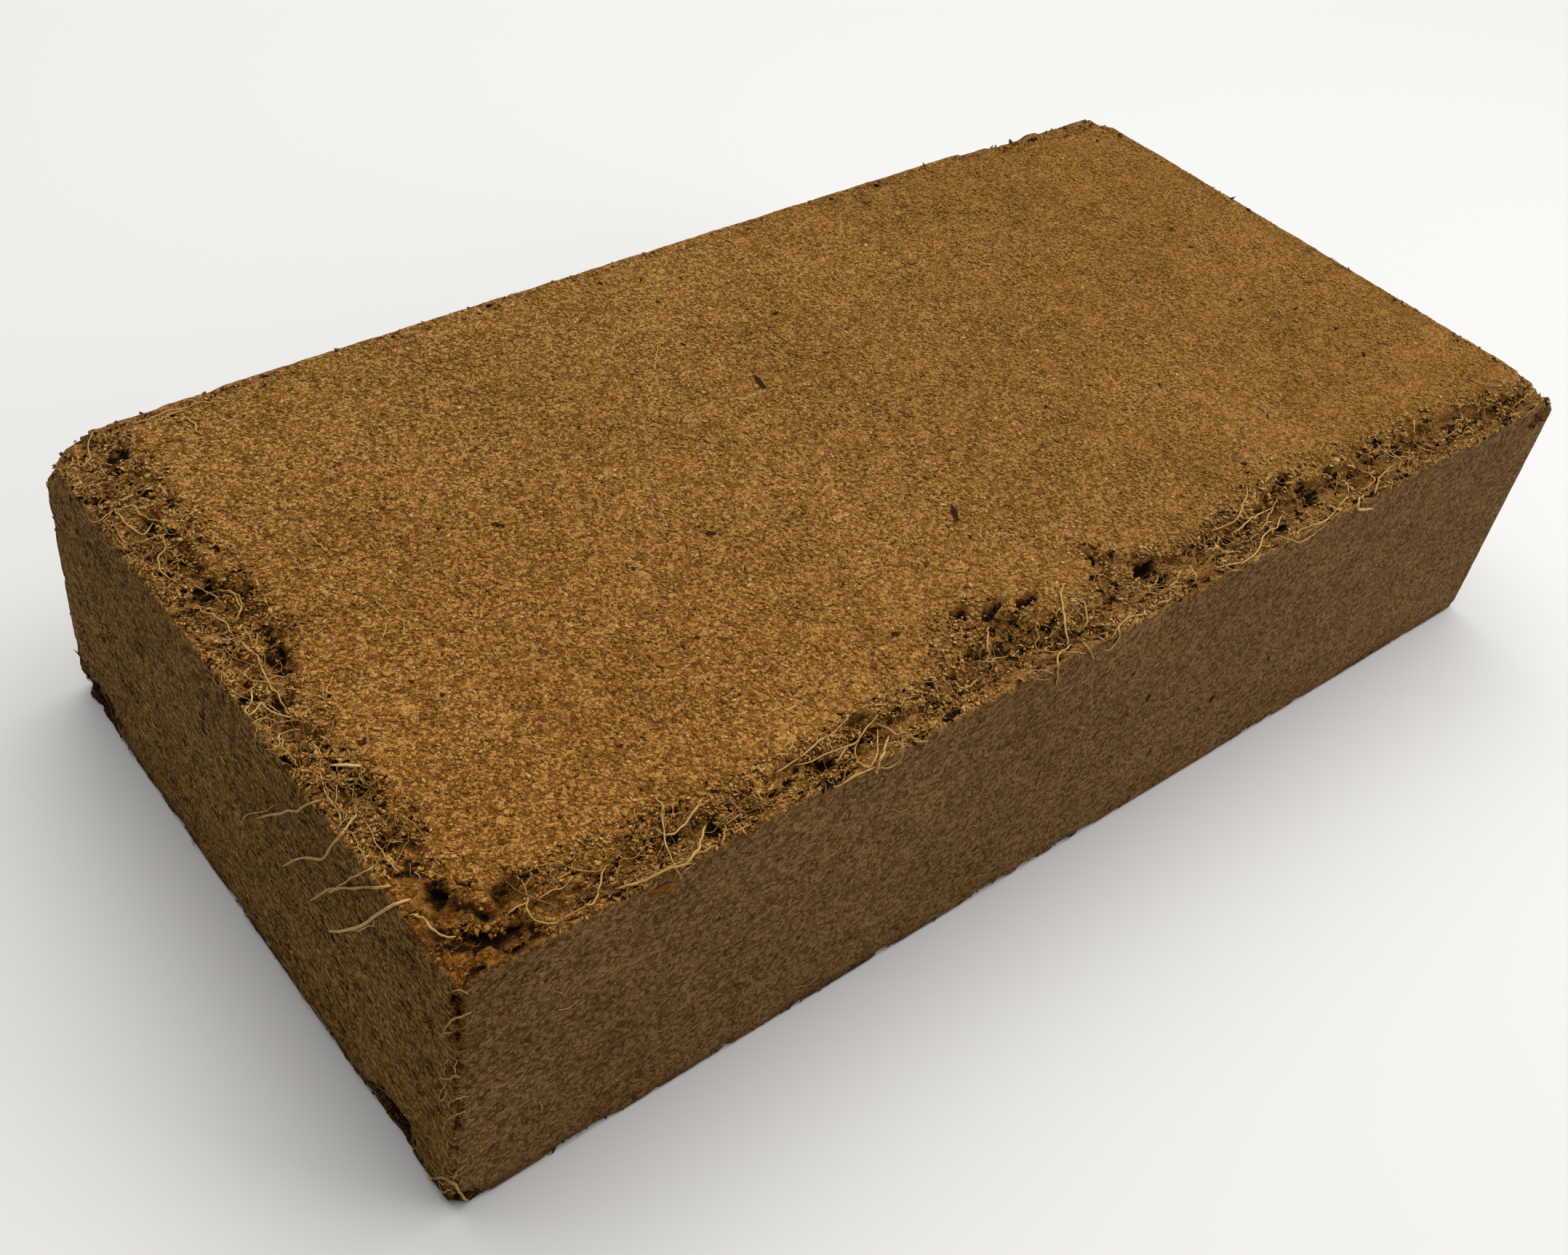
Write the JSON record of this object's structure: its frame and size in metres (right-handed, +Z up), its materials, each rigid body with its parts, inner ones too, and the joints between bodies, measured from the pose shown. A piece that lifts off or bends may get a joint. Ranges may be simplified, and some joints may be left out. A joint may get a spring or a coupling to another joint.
{
  "type": "coconut coir bale",
  "caption": "Pressed block of coconut coir pith and fibre, flat faced, with crumbled fibrous top edges.",
  "frame": {"origin": "middle of the underside, on the surface the bale lies on", "axes": "+X along the length, +Y across the width away from the crumbled long edge, +Z up through the thickness"},
  "size_m": [0.2, 0.102, 0.045],
  "materials": {
    "pressed_coir": "matte"
  },
  "bodies": {
    "root": {"coir_bale": "pressed_coir"}
  },
  "joints": []
}
